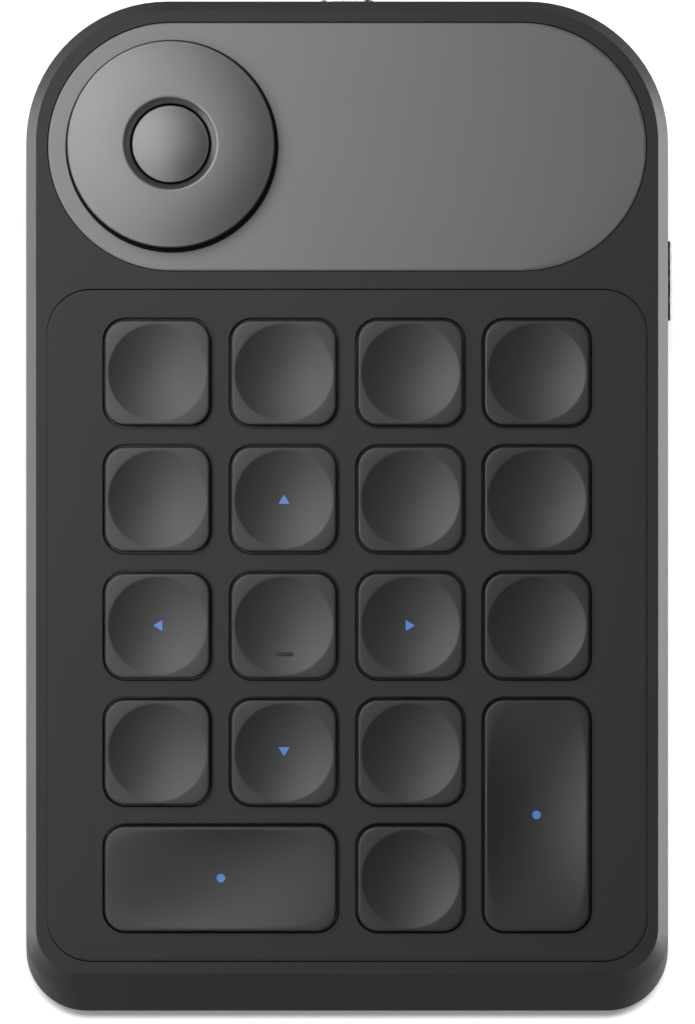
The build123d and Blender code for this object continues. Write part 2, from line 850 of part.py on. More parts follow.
def make_encoder_base():
    profile = Polyline(
        (post_bore, -dial_board_top),
        (encoder_radius, -dial_board_top),
        (encoder_radius, -encoder_top),
        (post_radius, -encoder_top),
        (post_radius, post_top),
        (post_bore, post_top),
        close=True,
    )
    return turn_on_dial(make_face(profile))


def make_dial_sensor():
    """The forked light gate that the code wheel's slots pass through."""
    outer = wheel_radius + sensor_reach
    middle = (sensor_inner + outer) / 2
    fork = block(middle, 0, outer - sensor_inner, sensor_width, -dial_board_top, -sensor_depth_top)
    low = -wheel_depth - wheel_thickness - sensor_jaw_gap
    high = -wheel_depth + sensor_jaw_gap
    reach = wheel_radius + sensor_jaw_gap
    fork -= block(reach / 2, 0, reach, 2 * sensor_width, low, high)
    return seat(Pos(dial_x, panel_y, 0) * fork)


# ---- centre button ----
def make_dial_button():
    stem = post_bore - button_stem_gap
    outer = Polyline(
        (0, -button_stem_depth),
        (stem, -button_stem_depth),
        (stem, button_foot),
        (button_radius, button_foot),
        (button_radius, button_rim),
    )
    shoulder = Line((button_radius, button_rim), (button_shoulder_radius, button_shoulder))
    ball = ball_radius(button_shoulder_radius, button_crown - button_shoulder)
    half = button_shoulder_radius / 2
    crown = ThreePointArc(
        (button_shoulder_radius, button_shoulder),
        (half, button_crown - ball + math.sqrt(ball**2 - half**2)),
        (0, button_crown),
    )
    axis_line = Line((0, button_crown), (0, -button_stem_depth))
    return turn_on_dial(make_face([outer, shoulder, crown, axis_line]))


def make_centre_switch():
    low = -dial_board_top
    body = block(dial_x, panel_y, switch_size, switch_size, low, low + switch_height)
    well_bottom = -actuator_depth - 2 * button_travel
    return seat(body - rod(dial_x, panel_y, actuator_radius + actuator_gap, well_bottom, 0))


def make_centre_actuator():
    return seat(rod(dial_x, panel_y, actuator_radius, -actuator_depth, -button_stem_depth))


# ---- dial board ----
def make_dial_board():
    width = dial_board_reach - dial_board_left
    length = dial_board_back - dial_board_front
    face = Pos((dial_board_left + dial_board_reach) / 2, (dial_board_front + dial_board_back) / 2)
    face *= Rectangle(width, length)
    corner = face.vertices().group_by(Axis.Y)[-1].sort_by(Axis.X)[0]
    face = fillet(corner, rear_radius - dial_board_corner_room)
    board = slab(face, -dial_board_top - board_thickness, -dial_board_top)
    hole_radius = frame_screw_radius + frame_hole_gap
    for x, y in dial_board_screws():
        board -= rod(x, y, hole_radius, -dial_board_top - 2 * wall, -dial_board_top + wall)
    board = seat(board)
    for x, y in case_screw_places():
        board -= rod(x, y, case_boss_radius + boss_notch_gap, 0, deck_height)
    return board


def make_board_screws():
    screws = []
    for x, y in dial_board_screws():
        screw = rod(x, y, frame_screw_radius, -dial_board_top - board_thickness - wall, -dial_board_top)
        screw += rod(x, y, frame_head_radius, -dial_board_top, -dial_board_top + frame_head_height)
        screws.append(screw)
    return seat(Compound(children=screws))


def flex_heights():
    """Depths at which the ribbon leaves the main board's socket and enters the dial board's."""
    return board_bottom + socket_height / 2, dial_board_top - socket_height / 2


def make_ribbon_sockets():
    main_socket = block(
        flex_x,
        board_back - socket_length / 2,
        socket_width,
        socket_length,
        -board_bottom - socket_height,
        -board_bottom,
    )
    dial_socket = block(
        flex_x,
        dial_board_front + socket_length / 2,
        socket_width,
        socket_length,
        -dial_board_top,
        -dial_board_top + socket_height,
    )
    return seat(Compound(children=[main_socket, dial_socket]))


def make_ribbon_cable():
    start, end = flex_heights()
    third = (dial_board_front - board_back) / 3
    line = [(board_back, -start), (board_back + third, -start)]
    line += [(dial_board_front - third, -end), (dial_board_front, -end)]
    upper = [(y, z + flex_thickness / 2) for y, z in line]
    lower = [(y, z - flex_thickness / 2) for y, z in reversed(line)]
    face = make_face(Polyline(*upper, *lower, close=True))
    band_plane = Plane(origin=(flex_x - flex_width / 2, 0, 0), x_dir=(0, 1, 0), z_dir=(1, 0, 0))
    return seat(extrude(band_plane * face, flex_width))


# ---- USB-C port ----
def make_usb_shell():
    mouth = port_plane(body_length / 2 + usb_proud)
    bore = SlotOverall(usb_width - 2 * usb_wall, usb_height - 2 * usb_wall)
    return seat(extrude(mouth * (SlotOverall(usb_width, usb_height) - bore), usb_length))


def make_usb_tongue():
    back = port_plane(body_length / 2 + usb_proud - usb_length)
    plug = extrude(back * SlotOverall(usb_width - 2 * usb_wall, usb_height - 2 * usb_wall), -tongue_block)
    blade = extrude(back * Rectangle(tongue_width, tongue_thickness), -tongue_length - tongue_block)
    return seat(plug + blade)


# ---- power button ----
def make_power_button():
    outer_face = body_width / 2 + power_proud
    inner_face = belt_x - wall
    button = extrude(side_plane(inner_face) * Rectangle(power_length, power_height), outer_face - inner_face)
    button = chamfer(button.faces().sort_by(Axis.X)[-1].edges(), power_chamfer)
    collar = Rectangle(power_length + 2 * power_flange, power_height + 2 * power_flange)
    button += extrude(side_plane(inner_face - power_flange_thickness) * collar, power_flange_thickness)
    nub = Pos(0, power_depth - power_switch_middle()) * Rectangle(power_nub_width, power_actuator_height)
    return seat(button + extrude(side_plane(power_nub_tip) * nub, inner_face - power_nub_tip))


def power_switch_middle():
    """Depth of the middle of the power switch, which stands on the main board."""
    return sheet_bottom - power_switch_height / 2


def make_power_switch():
    body = block(
        tab_reach - power_switch_length / 2,
        power_y,
        power_switch_length,
        power_switch_width,
        -sheet_bottom,
        -sheet_bottom + power_switch_height,
    )
    well = Rectangle(power_actuator_width + 2 * actuator_gap, power_actuator_height + 2 * actuator_gap)
    well_plane = Plane(
        origin=(power_actuator_inner - power_travel - actuator_gap, power_y, -power_switch_middle()),
        x_dir=(0, 1, 0),
        z_dir=(1, 0, 0),
    )
    return seat(body - extrude(well_plane * well, 2 * power_switch_length))


def make_power_actuator():
    foot = Plane(
        origin=(power_actuator_inner, power_y, -power_switch_middle()), x_dir=(0, 1, 0), z_dir=(1, 0, 0)
    )
    blade = Rectangle(power_actuator_width, power_actuator_height)
    return seat(extrude(foot * blade, power_nub_tip - power_actuator_inner))


# ---- battery ----
def make_battery():
    width = battery_x[1] - battery_x[0]
    length = battery_y[1] - battery_y[0]
    cell = block(
        sum(battery_x) / 2, sum(battery_y) / 2, width, length, floor_top, floor_top + battery_thickness
    )
    return fillet(cell.edges().filter_by(Axis.Z), battery_round)


def make_battery_leads():
    leads = []
    for height in lead_heights:
        points = [(plug_x, plug_y, height), (lead_turn_x, plug_y, height), (lead_turn_x, battery_y[0], height)]
        path = FilletPolyline(*points, radius=lead_bend)
        section = Plane(origin=path @ 0, z_dir=path % 0) * Circle(lead_radius)
        leads.append(sweep(section, path=path))
    return Compound(children=leads)


def plug_box(start, length, width, height):
    """A box on the plug's line, from x = start, at the plug's height over the desk."""
    low = plug_height_above_desk - height / 2
    return block(start + length / 2, plug_y, length, width, low, low + height)


def make_battery_plug():
    return plug_box(plug_x, plug_length, plug_width, plug_height)


def make_battery_socket():
    """The socket hangs from the main board, and its mouth takes the plug."""
    depth = depth_at(plug_y, plug_height_above_desk - plug_height / 2)
    x = plug_x + plug_length + battery_socket_length / 2
    return seat(block(x, plug_y, battery_socket_length, plug_width, -depth, -board_bottom))


# ---- bottom shell, feet and case screws ----
def make_bottom_shell():
    shell = loft([desk_section(foot_height, undercut, undercut), desk_section(parting, 0, 0)], ruled=True)
    lip_inset = wall + lip_gap
    lip = desk_section(0, lip_inset, lip_front)
    room = desk_section(0, lip_inset + lip_thickness, lip_front + lip_thickness)
    shell += slab(lip, parting, parting + lip_height)
    shell -= slab(room, floor_top, parting + 2 * lip_height)
    shell += make_floor_ribs()
    for wall_piece in make_tray():
        shell += wall_piece
    for x, y in dial_board_screws():
        post = seat(rod(x, y, board_post_radius, -deck_height, -dial_board_top - board_thickness))
        shell += post - block(0, 0, 2 * body_width, 2 * body_length, -deck_height, floor_top)
    for x, y in dial_board_screws():
        pilot_low = -dial_board_top - board_thickness - wall - thread_gap
        shell -= seat(rod(x, y, frame_screw_radius + thread_gap, pilot_low, 0))
    for x, y in case_screw_places():
        shell += rod(x, y, case_seat_radius, floor_top, case_seat_top)
        head_room = foot_height + screw_head_recess + screw_head_height
        shell -= rod(x, y, screw_head_radius + screw_head_gap, foot_height - wall, head_room)
        shell -= rod(x, y, screw_radius + screw_head_gap, foot_height, case_seat_top + wall)
    for x in (-foot_x, foot_x):
        for y in foot_y:
            pad = SlotOverall(foot_length + 2 * foot_gap, foot_width + 2 * foot_gap)
            shell -= Pos(x, y, 0) * slab(pad, 0, foot_height + foot_recess)
    return shell


def make_floor_ribs():
    """Ribs along the floor under the keys, joined by one across each end."""
    front = field_y - key_pitch
    width = (floor_ribs - 1) * floor_rib_pitch
    top = floor_top + floor_rib_height
    ribs = []
    for number in range(floor_ribs):
        x = number * floor_rib_pitch - width / 2
        ribs.append(block(x, (front + deck_back) / 2, floor_rib, deck_back - front, floor_top, top))
    for y in (front, deck_back):
        ribs.append(block(0, y, width, floor_rib, floor_top, top))
    return ribs


def make_tray():
    """Four short walls that hold the battery on the floor."""
    middle_x = sum(battery_x) / 2
    middle_y = sum(battery_y) / 2
    top = floor_top + tray_height
    offset = tray_gap + tray_wall / 2
    walls = []
    for y in (battery_y[0] - offset, battery_y[1] + offset):
        walls.append(block(middle_x + tray_wall_length / 2, y, tray_wall_length, tray_wall, floor_top, top))
    for x in (battery_x[0] - offset, battery_x[1] + offset):
        walls.append(block(x, middle_y, tray_wall, tray_wall_length, floor_top, top))
    return walls


def make_feet():
    pads = []
    for x in (-foot_x, foot_x):
        for y in foot_y:
            pads.append(Pos(x, y, 0) * slab(SlotOverall(foot_length, foot_width), 0, foot_height + foot_recess))
    return Compound(children=pads)


def make_case_screws():
    screws = []
    seat_height = foot_height + screw_head_recess + screw_head_height
    for x, y in case_screw_places():
        head = rod(x, y, screw_head_radius, foot_height + screw_head_recess, seat_height)
        slot_top = foot_height + screw_head_recess + driver_depth
        head -= block(x, y, 2 * driver_reach, driver_width, 0, slot_top)
        head -= block(x, y, driver_width, 2 * driver_reach, 0, slot_top)
        screws.append(head + rod(x, y, screw_radius - thread_gap, seat_height, screw_tip))
    return Compound(children=screws)


nodes = {
    "top_shell": make_top_shell(),
    "bottom_shell": make_bottom_shell(),
    "key_deck": make_key_deck(),
    "dial_panel": make_dial_panel(),
    "key_frame": make_key_frame(),
    "dome_sheet": make_dome_sheet(),
    "main_board": make_main_board(),
    "board_chips": make_board_chips(),
    "frame_screws": make_frame_screws(),
    "dial_ring": make_dial_ring(),
    "dial_skirt": make_dial_skirt(),
    "dial_hub": make_dial_hub(),
    "code_wheel": make_code_wheel(),
    "glide_washer": make_glide_washer(),
    "encoder_base": make_encoder_base(),
    "dial_sensor": make_dial_sensor(),
    "dial_button": make_dial_button(),
    "centre_switch": make_centre_switch(),
    "centre_actuator": make_centre_actuator(),
    "dial_board": make_dial_board(),
    "board_screws": make_board_screws(),
    "ribbon_sockets": make_ribbon_sockets(),
    "ribbon_cable": make_ribbon_cable(),
    "usb_c_shell": make_usb_shell(),
    "usb_c_tongue": make_usb_tongue(),
    "power_button": make_power_button(),
    "power_switch": make_power_switch(),
    "power_actuator": make_power_actuator(),
    "battery_cell": make_battery(),
    "battery_leads": make_battery_leads(),
    "battery_plug": make_battery_plug(),
    "battery_socket": make_battery_socket(),
    "rubber_feet": make_feet(),
    "case_screws": make_case_screws(),
}
plain_cap = make_keycap(1, 1, False)
for key_letter, key_name, key_x, key_y, key_columns, key_rows in all_keys():
    cap_shape = plain_cap
    if key_letter == home_letter:
        cap_shape = make_keycap(1, 1, True)
    if key_columns != key_rows:
        cap_shape = make_keycap(key_columns, key_rows, False)
        wire = Pos(key_x, key_y, 0) * turned(make_stabiliser(), key_rows)
        nodes[f"stabiliser_{key_name}"] = seat(wire)
    nodes[f"keycap_{key_name}"] = seat(Pos(key_x, key_y, 0) * cap_shape)

os.makedirs("parts", exist_ok=True)
for node_name, shape in nodes.items():
    export_step(shape, f"parts/{node_name}.step")
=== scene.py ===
# %% [markdown]
# # Macro keypad with a dial
#
# This lesson dresses the engineering model of a low, wedge-shaped keypad. The model already holds
# every piece at its real size and place. Blender adds what the eye reads: smooth curved surfaces,
# soft edges that catch the light, moulded and metal finishes, and a calm studio round it all.
#
# Each step says what the piece is on the real object, how it could be made, and why this way was
# chosen. Everything is in metres, in the frame of the engineering model.

import json
import math

import bmesh
import bpy
import numpy as np
from mathutils import Matrix, Vector

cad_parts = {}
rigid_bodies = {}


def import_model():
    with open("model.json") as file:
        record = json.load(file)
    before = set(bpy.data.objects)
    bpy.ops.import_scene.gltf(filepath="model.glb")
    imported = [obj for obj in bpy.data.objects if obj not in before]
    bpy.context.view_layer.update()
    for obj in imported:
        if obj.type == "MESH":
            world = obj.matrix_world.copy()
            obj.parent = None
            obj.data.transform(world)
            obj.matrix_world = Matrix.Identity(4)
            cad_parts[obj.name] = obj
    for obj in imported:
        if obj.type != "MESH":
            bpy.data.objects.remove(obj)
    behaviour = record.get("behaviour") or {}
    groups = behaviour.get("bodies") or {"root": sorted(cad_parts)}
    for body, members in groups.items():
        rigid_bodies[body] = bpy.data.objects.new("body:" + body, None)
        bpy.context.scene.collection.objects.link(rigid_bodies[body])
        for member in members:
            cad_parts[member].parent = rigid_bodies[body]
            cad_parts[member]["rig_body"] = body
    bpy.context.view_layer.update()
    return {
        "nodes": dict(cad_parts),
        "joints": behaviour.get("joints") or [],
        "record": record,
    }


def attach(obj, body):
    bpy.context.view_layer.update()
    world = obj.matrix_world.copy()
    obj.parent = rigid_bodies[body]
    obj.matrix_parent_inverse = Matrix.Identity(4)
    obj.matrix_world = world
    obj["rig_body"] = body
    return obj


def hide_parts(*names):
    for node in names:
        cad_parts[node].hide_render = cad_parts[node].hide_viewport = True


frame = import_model()
mm = 0.001
print("nodes in the frame:", len(frame["nodes"]))

# %% [markdown]
# ## The deck frame
#
# The keys and the dial stand square to a top face that slopes two degrees. Working out every point
# in sloping coordinates would be tiresome, so the shapes are drawn flat and then tipped: x to the
# right, y towards the dial, z up from the top face. The dial's axis in the frame gives both the
# direction and a known point, so nothing has to be typed twice.

# %% Deck frame from the dial's axis
dial_turn = next(joint for joint in frame["joints"] if joint["name"] == "dial_turn")
dial_x = -29.35 * mm
dial_y = 60.35 * mm
across = np.array([1.0, 0.0, 0.0])
normal = np.array(dial_turn["axis"])
along = np.cross(normal, across)
deck_origin = np.array(dial_turn["pos_m"]) - dial_x * across - dial_y * along


def on_deck(points):
    """Deck coordinates to the frame: origin + x times across + y times along + z times normal."""
    return deck_origin + np.asarray(points) @ np.stack([across, along, normal])


print("the deck slopes", round(math.degrees(math.asin(along[2])), 2), "degrees")

# %% [markdown]
# ## From arrays to a mesh
#
# A surface here is a grid of points: rings that follow each other, each with the same number of
# points. The rings are computed as whole arrays, and the faces are index arithmetic on the grid.
# Welding the doubled points at a pole closes the surface, and the normals are worked out afresh so
# that they all point outwards.

# %% Mesh helpers
weld_distance = 2e-7


def grid_faces(rings, columns, start=0):
    """Quads between each ring and the next, on a grid whose columns close on themselves."""
    ring, column = np.meshgrid(np.arange(rings - 1), np.arange(columns), indexing="ij")
    after = (column + 1) % columns
    quads = [ring * columns + column, ring * columns + after]
    quads += [(ring + 1) * columns + after, (ring + 1) * columns + column]
    return start + np.stack(quads, axis=-1).reshape(-1, 4)


def weld(mesh):
    """Joins doubled points, drops faces that closed up, and turns the normals outwards."""
    work = bmesh.new()
    work.from_mesh(mesh)
    bmesh.ops.remove_doubles(work, verts=work.verts, dist=weld_distance)
    bmesh.ops.dissolve_degenerate(work, edges=work.edges, dist=weld_distance)
    bmesh.ops.recalc_face_normals(work, faces=work.faces)
    work.to_mesh(mesh)
    work.free()


def add_object(name, mesh, body, nodes=()):
    """Puts a mesh in the scene, riding on its body and standing for its engineering nodes."""
    item = bpy.data.objects.new(name, mesh)
    bpy.context.scene.collection.objects.link(item)
    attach(item, body)
    if nodes:
        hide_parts(*nodes)
    return item


def surface(name, grids, body, nodes=(), edge_angle=50.0):
    """Closed surface from grids of rings, each an array of rings x columns x 3 in the frame."""
    points, faces, start = [], [], 0
    for grid in grids:
        rings, columns, _ = grid.shape
        points.append(grid.reshape(-1, 3))
        faces.append(grid_faces(rings, columns, start))
        start += rings * columns
    mesh = bpy.data.meshes.new(name)
    mesh.from_pydata(np.concatenate(points), [], np.concatenate(faces))
    weld(mesh)
    mesh.shade_smooth()
    mesh.set_sharp_from_angle(angle=math.radians(edge_angle))
    return add_object(name, mesh, body, nodes)


# %% [markdown]
# ## Outlines and lathes
#
# Two shapes come back all through this object. One is the rounded rectangle: the deck, the key
# openings and the caps. Its points carry their outward directions, so a smaller or larger copy of
# the outline is one multiplication. The other is the turned shape: the dial and its button.

# %% Rounded outline and turned shape
corner_steps = 12
side_steps = 10
lathe_steps = 192


def rounded_loop(half_x, half_y, radius):
    """Points and outward directions of a rounded rectangle, anticlockwise.

    A corner point is the corner's centre + radius times (cos a, sin a); the straight sides are
    blends between the end of one corner and the start of the next.
    """
    signs = np.array([[1, 1], [-1, 1], [-1, -1], [1, -1]])
    centres = signs * [half_x - radius, half_y - radius]
    turn = np.linspace(0, math.pi / 2, corner_steps + 1)
    angles = np.arange(4)[:, None] * math.pi / 2 + turn
    outward = np.stack([np.cos(angles), np.sin(angles)], axis=-1)
    arcs = centres[:, None] + radius * outward
    blend = np.linspace(0, 1, side_steps + 1)[1:-1, None]
    sides = arcs[:, -1:] * (1 - blend) + np.roll(arcs[:, :1], -1, axis=0) * blend
    side_outward = np.repeat(outward[:, -1:], side_steps - 1, axis=1)
    points = np.concatenate([arcs, sides], axis=1).reshape(-1, 2)
    return points, np.concatenate([outward, side_outward], axis=1).reshape(-1, 2)


def lathe(profile, x, y):
    """Rings of a turned shape on the deck: (radius cos a, radius sin a, height) for each point."""
    profile = np.asarray(profile)
    angle = np.linspace(0, 2 * math.pi, lathe_steps, endpoint=False)
    radius, height = profile[:, :1], profile[:, 1:]
    parts = [x + radius * np.cos(angle), y + radius * np.sin(angle), height + 0 * angle]
    return on_deck(np.stack(parts, axis=-1))


def arc(centre, radius, first, last, steps):
    """Points of a circular arc in a profile, from angle first to angle last, in degrees."""
    angle = np.radians(np.linspace(first, last, steps))
    parts = [centre[0] + radius * np.cos(angle), centre[1] + radius * np.sin(angle)]
    return np.stack(parts, axis=-1)


# %% [markdown]
# ## Finishes: the shared effects
#
# Nothing on this object is truly plain. The mouldings carry a fine spark texture, the panel and the
# dial are blasted metal, and every surface is a little lighter here and darker there. Two effects
# are shared by all of them, so each is a node group that is built once: a grain that roughens and
# bumps the surface, and a slow mottle that shifts the colour by a few per cent. Both read Object
# coordinates, so the pattern has a real size and stays put when a key moves.

# %% Node groups for grain and mottle
grain_height = 0.02 * mm
grain_detail = 3.0
mottle_detail = 4.0


def new_group(name, inputs, outputs):
    """A shader node group with named sockets; inputs are (name, type, default)."""
    group = bpy.data.node_groups.new(name, "ShaderNodeTree")
    for label, kind, default in inputs:
        socket = group.interface.new_socket(label, in_out="INPUT", socket_type=kind)
        if default is not None:
            socket.default_value = default
    for label, kind in outputs:
        group.interface.new_socket(label, in_out="OUTPUT", socket_type=kind)
    return group, group.nodes.new("NodeGroupInput"), group.nodes.new("NodeGroupOutput")


def math_node(group, operation, first, second):
    """A Math node; each operand is a socket or a number."""
    node = group.nodes.new("ShaderNodeMath")
    node.operation = operation
    for socket, value in zip(node.inputs, (first, second)):
        if isinstance(value, (int, float)):
            socket.default_value = value
        else:
            group.links.new(value, socket)
    return node.outputs[0]


def build_grain():
    """Fine moulded or blasted grain: roughness = Roughness + Spread (noise - 1/2), and a bump."""
    inputs = [("Scale", "NodeSocketFloat", 4000.0), ("Roughness", "NodeSocketFloat", 0.45)]
    inputs += [("Spread", "NodeSocketFloat", 0.1), ("Depth", "NodeSocketFloat", 0.2)]
    outputs = [("Roughness", "NodeSocketFloat"), ("Normal", "NodeSocketVector")]
    group, source, result = new_group("fine_grain", inputs, outputs)
    place = group.nodes.new("ShaderNodeTexCoord")
    noise = group.nodes.new("ShaderNodeTexNoise")
    noise.inputs["Detail"].default_value = grain_detail
    group.links.new(place.outputs["Object"], noise.inputs["Vector"])
    group.links.new(source.outputs["Scale"], noise.inputs["Scale"])
    centred = math_node(group, "SUBTRACT", noise.outputs[0], 0.5)
    swing = math_node(group, "MULTIPLY", centred, source.outputs["Spread"])
    rough = math_node(group, "ADD", swing, source.outputs["Roughness"])
    bump = group.nodes.new("ShaderNodeBump")
    bump.inputs["Distance"].default_value = grain_height
    group.links.new(source.outputs["Depth"], bump.inputs["Strength"])
    group.links.new(noise.outputs[0], bump.inputs["Height"])
    group.links.new(rough, result.inputs["Roughness"])
    group.links.new(bump.outputs["Normal"], result.inputs["Normal"])
    return group


def build_mottle():
    """Slow change of shade: Color times 1 + Amount (noise - 1/2)."""
    inputs = [("Color", "NodeSocketColor", (0.5, 0.5, 0.5, 1.0))]
    inputs += [("Amount", "NodeSocketFloat", 0.1), ("Scale", "NodeSocketFloat", 60.0)]
    group, source, result = new_group("soft_mottle", inputs, [("Color", "NodeSocketColor")])
    place = group.nodes.new("ShaderNodeTexCoord")
    noise = group.nodes.new("ShaderNodeTexNoise")
    noise.inputs["Detail"].default_value = mottle_detail
    group.links.new(place.outputs["Object"], noise.inputs["Vector"])
    group.links.new(source.outputs["Scale"], noise.inputs["Scale"])
    centred = math_node(group, "SUBTRACT", noise.outputs[0], 0.5)
    swing = math_node(group, "MULTIPLY", centred, source.outputs["Amount"])
    factor = math_node(group, "ADD", swing, 1.0)
    scale = group.nodes.new("ShaderNodeVectorMath")
    scale.operation = "SCALE"
    group.links.new(source.outputs["Color"], scale.inputs[0])
    group.links.new(factor, scale.inputs["Scale"])
    group.links.new(scale.outputs[0], result.inputs["Color"])
    return group


grain_group = build_grain()
mottle_group = build_mottle()
print("shared effects:", grain_group.name, mottle_group.name)

# %% [markdown]
# ## Finishes: the materials
#
# The real mouldings are black-grey plastic, all from nearly the same resin, yet they read as
# different because their grain and their gloss differ. One function makes every finish from a few
# honest numbers: a colour, a metallic share, a roughness, how strongly the surface mirrors, and the
# size and depth of the grain.

# %% Material maker


def shade(level):
    """Scene-linear value of a display grey from 0 to 255."""
    share = level / 255
    return share / 12.92 if share <= 0.04045 else ((share + 0.055) / 1.055) ** 2.4


def tint(red, green, blue):
    """Scene-linear colour of a display colour."""
    return (shade(red), shade(green), shade(blue), 1.0)


def finish_material(name, color, roughness, metallic=0.0, grain=4000.0, depth=0.15, spread=0.1,
                    mottle=0.08, mottle_scale=60.0, specular=0.5):
    """A finish with mottled colour and grained roughness on one Principled shader."""
    material = bpy.data.materials.new(name + "_finish")
    material.use_nodes = True
    tree = material.node_tree
    shader = tree.nodes["Principled BSDF"]
    shader.inputs["Metallic"].default_value = metallic
    shader.inputs["Specular IOR Level"].default_value = specular
    grained = tree.nodes.new("ShaderNodeGroup")
    grained.node_tree = grain_group
    grained.inputs["Scale"].default_value = grain
    grained.inputs["Roughness"].default_value = roughness
    grained.inputs["Spread"].default_value = spread
    grained.inputs["Depth"].default_value = depth
    mottled = tree.nodes.new("ShaderNodeGroup")
    mottled.node_tree = mottle_group
    mottled.inputs["Color"].default_value = color
    mottled.inputs["Amount"].default_value = mottle
    mottled.inputs["Scale"].default_value = mottle_scale
    tree.links.new(mottled.outputs["Color"], shader.inputs["Base Color"])
    tree.links.new(grained.outputs["Roughness"], shader.inputs["Roughness"])
    tree.links.new(grained.outputs["Normal"], shader.inputs["Normal"])
    return material


# %% The finishes, one for each material slot of the record
finishes = {
    "case_plastic": finish_material("case_plastic", tint(57, 57, 57), 0.42, specular=0.11),
    "deck_plastic": finish_material("deck_plastic", tint(58, 58, 58), 0.5, specular=0.11),
    "key_plastic": finish_material(
        "key_plastic", tint(38, 38, 38), 0.4, grain=5000.0, depth=0.1, specular=0.56
    ),
    "panel_paint": finish_material(
        "panel_paint", tint(110, 110, 110), 0.42, metallic=0.36, grain=6000.0
    ),
    "dial_metal": finish_material(
        "dial_metal", tint(98, 98, 98), 0.36, metallic=0.93, grain=6000.0
    ),
    "dial_black": finish_material("dial_black", tint(9, 9, 9), 0.5, specular=0.08),
    "button_black": finish_material("button_black", tint(26, 26, 27), 0.4),
    "foot_rubber": finish_material("foot_rubber", tint(34, 34, 34), 0.75, depth=0.4),
    "dome_rubber": finish_material("dome_rubber", tint(205, 208, 208), 0.5, depth=0.1),
    "inner_plastic": finish_material("inner_plastic", tint(16, 16, 16), 0.5, specular=0.2),
    "white_plastic": finish_material("white_plastic", tint(225, 224, 218), 0.45),
    "board": finish_material("board", tint(20, 70, 42), 0.35, depth=0.05),
    "chip_black": finish_material("chip_black", tint(24, 24, 24), 0.55),
    "steel": finish_material("steel", tint(196, 196, 194), 0.3, metallic=1.0, spread=0.2),
    "screw_steel": finish_material("screw_steel", tint(60, 60, 61), 0.4, metallic=1.0, spread=0.2),
    "foil": finish_material(
        "foil", tint(190, 192, 196), 0.35, metallic=0.9, depth=0.3, grain=900.0
    ),
    "lead_red": finish_material("lead_red", tint(170, 30, 28), 0.4),
    "flex_amber": finish_material("flex_amber", tint(170, 110, 35), 0.35),
    "print_blue": finish_material("print_blue", tint(89, 138, 216), 0.45, mottle=0.04),
}
record_slots = {part["node"]: part["material_slot"] for part in frame["record"]["subparts"]}
for node_name, node in frame["nodes"].items():
    node.data.materials.clear()
    node.data.materials.append(finishes[record_slots[node_name]])
print("finishes made:", len(finishes))

# %% [markdown]
# ## The mouldings and the panel
#
# The shells, the deck and the panel are already the right shape in the engineering model, but its
# mesh is loose triangles, and each one would catch the light by itself. Modelling these again would
# only risk losing a hole or a rib. A copy of the mesh is welded instead, shaded smooth except where
# the shape really has an edge, and its normals are weighted by face area so that a wide flat face
# stays flat right up to its rounded rim.

# %% Welded copies of the engineering meshes
flat_weight = 100


def smooth_copy(node_name, edge_angle=32.0):
    """A welded, smooth-shaded copy of a node's mesh that stands for the node."""
    source = frame["nodes"][node_name]
    mesh = source.data.copy()
    if mesh.has_custom_normals:
        mesh.attributes.remove(mesh.attributes["custom_normal"])
    weld(mesh)
    mesh.shade_smooth()
    mesh.set_sharp_from_angle(angle=math.radians(edge_angle))
    item = add_object(node_name + "_look", mesh, source["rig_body"], [node_name])
    weighted = item.modifiers.new("even_flats", "WEIGHTED_NORMAL")
    weighted.keep_sharp = True
    weighted.weight = flat_weight


smooth_nodes = ["top_shell", "bottom_shell", "key_deck", "dial_panel", "power_button"]
smooth_nodes += ["usb_c_shell", "usb_c_tongue", "rubber_feet", "case_screws"]
for node_name in smooth_nodes:
    smooth_copy(node_name)
print("welded copies:", len(smooth_nodes))

# %% [markdown]
# ## Keycaps
#
# Each cap is a rounded square with a round finger dish sunk in its top. The dish meets the flat
# corners in a crisp circle, and its side nearest the light stays dark while the far side glows:
# that play of light is the look of this object, so the surface has to be smooth to the eye. The
# engineering mesh has flat facets there.
#
# The cap is computed as rings. From the middle of the dish the rings are circles, then they change
# into the rounded square, round over the edge, run down the skirt, step out to the flange that
# holds the cap in, and close again under the roof. The dish of a long cap is no stretched bowl: it
# gets shallower towards its ends, so its shade changes along the key as well as across it.

# %% Cap sizes
key_pitch = 21.13 * mm
field_y = -19.85 * mm
opening_half = 9.28 * mm
cap_half = 8.82 * mm
cap_radius = 3.44 * mm
cap_draft = 0.1 * mm
cap_top = 1.5 * mm
cap_round = 0.3 * mm
dish_radius = 8.2 * mm
dish_depth = 1.1 * mm
dish_rim = 0.12 * mm
dish_fade = 0.6
dish_corner = 0.19
flange_out = 0.7 * mm
flange_top = -1.8 * mm
flange_bottom = -2.4 * mm
cap_wall = 1.2 * mm
cap_inside = -0.6 * mm
stem_radius = 3.95 * mm
stem_bore = 3.15 * mm
stem_foot = -3.2 * mm
plunger_radius = 1.5 * mm
plunger_foot = -2.55 * mm
print("cap sizes set, dish across in mm:", round(2 * dish_radius / mm, 2))

# %% Where the rings of a cap lie
rim_halvings = 30
rim_drop = dish_rim / 12
dish_shares = np.concatenate([np.linspace(0, 0.94, 16), [0.975, 0.99]])
land_shares = (0, 0.3, 0.7, 1)
edge_angles = np.radians([15, 30, 45, 60, 75, 90])
skirt_start = 1.1 * cap_round
draft_start = 0.02
roof_shares = (0.5, 1)
stem_skip = 6
print("rings in a dish:", len(dish_shares) + 1)

# %% Cap surface


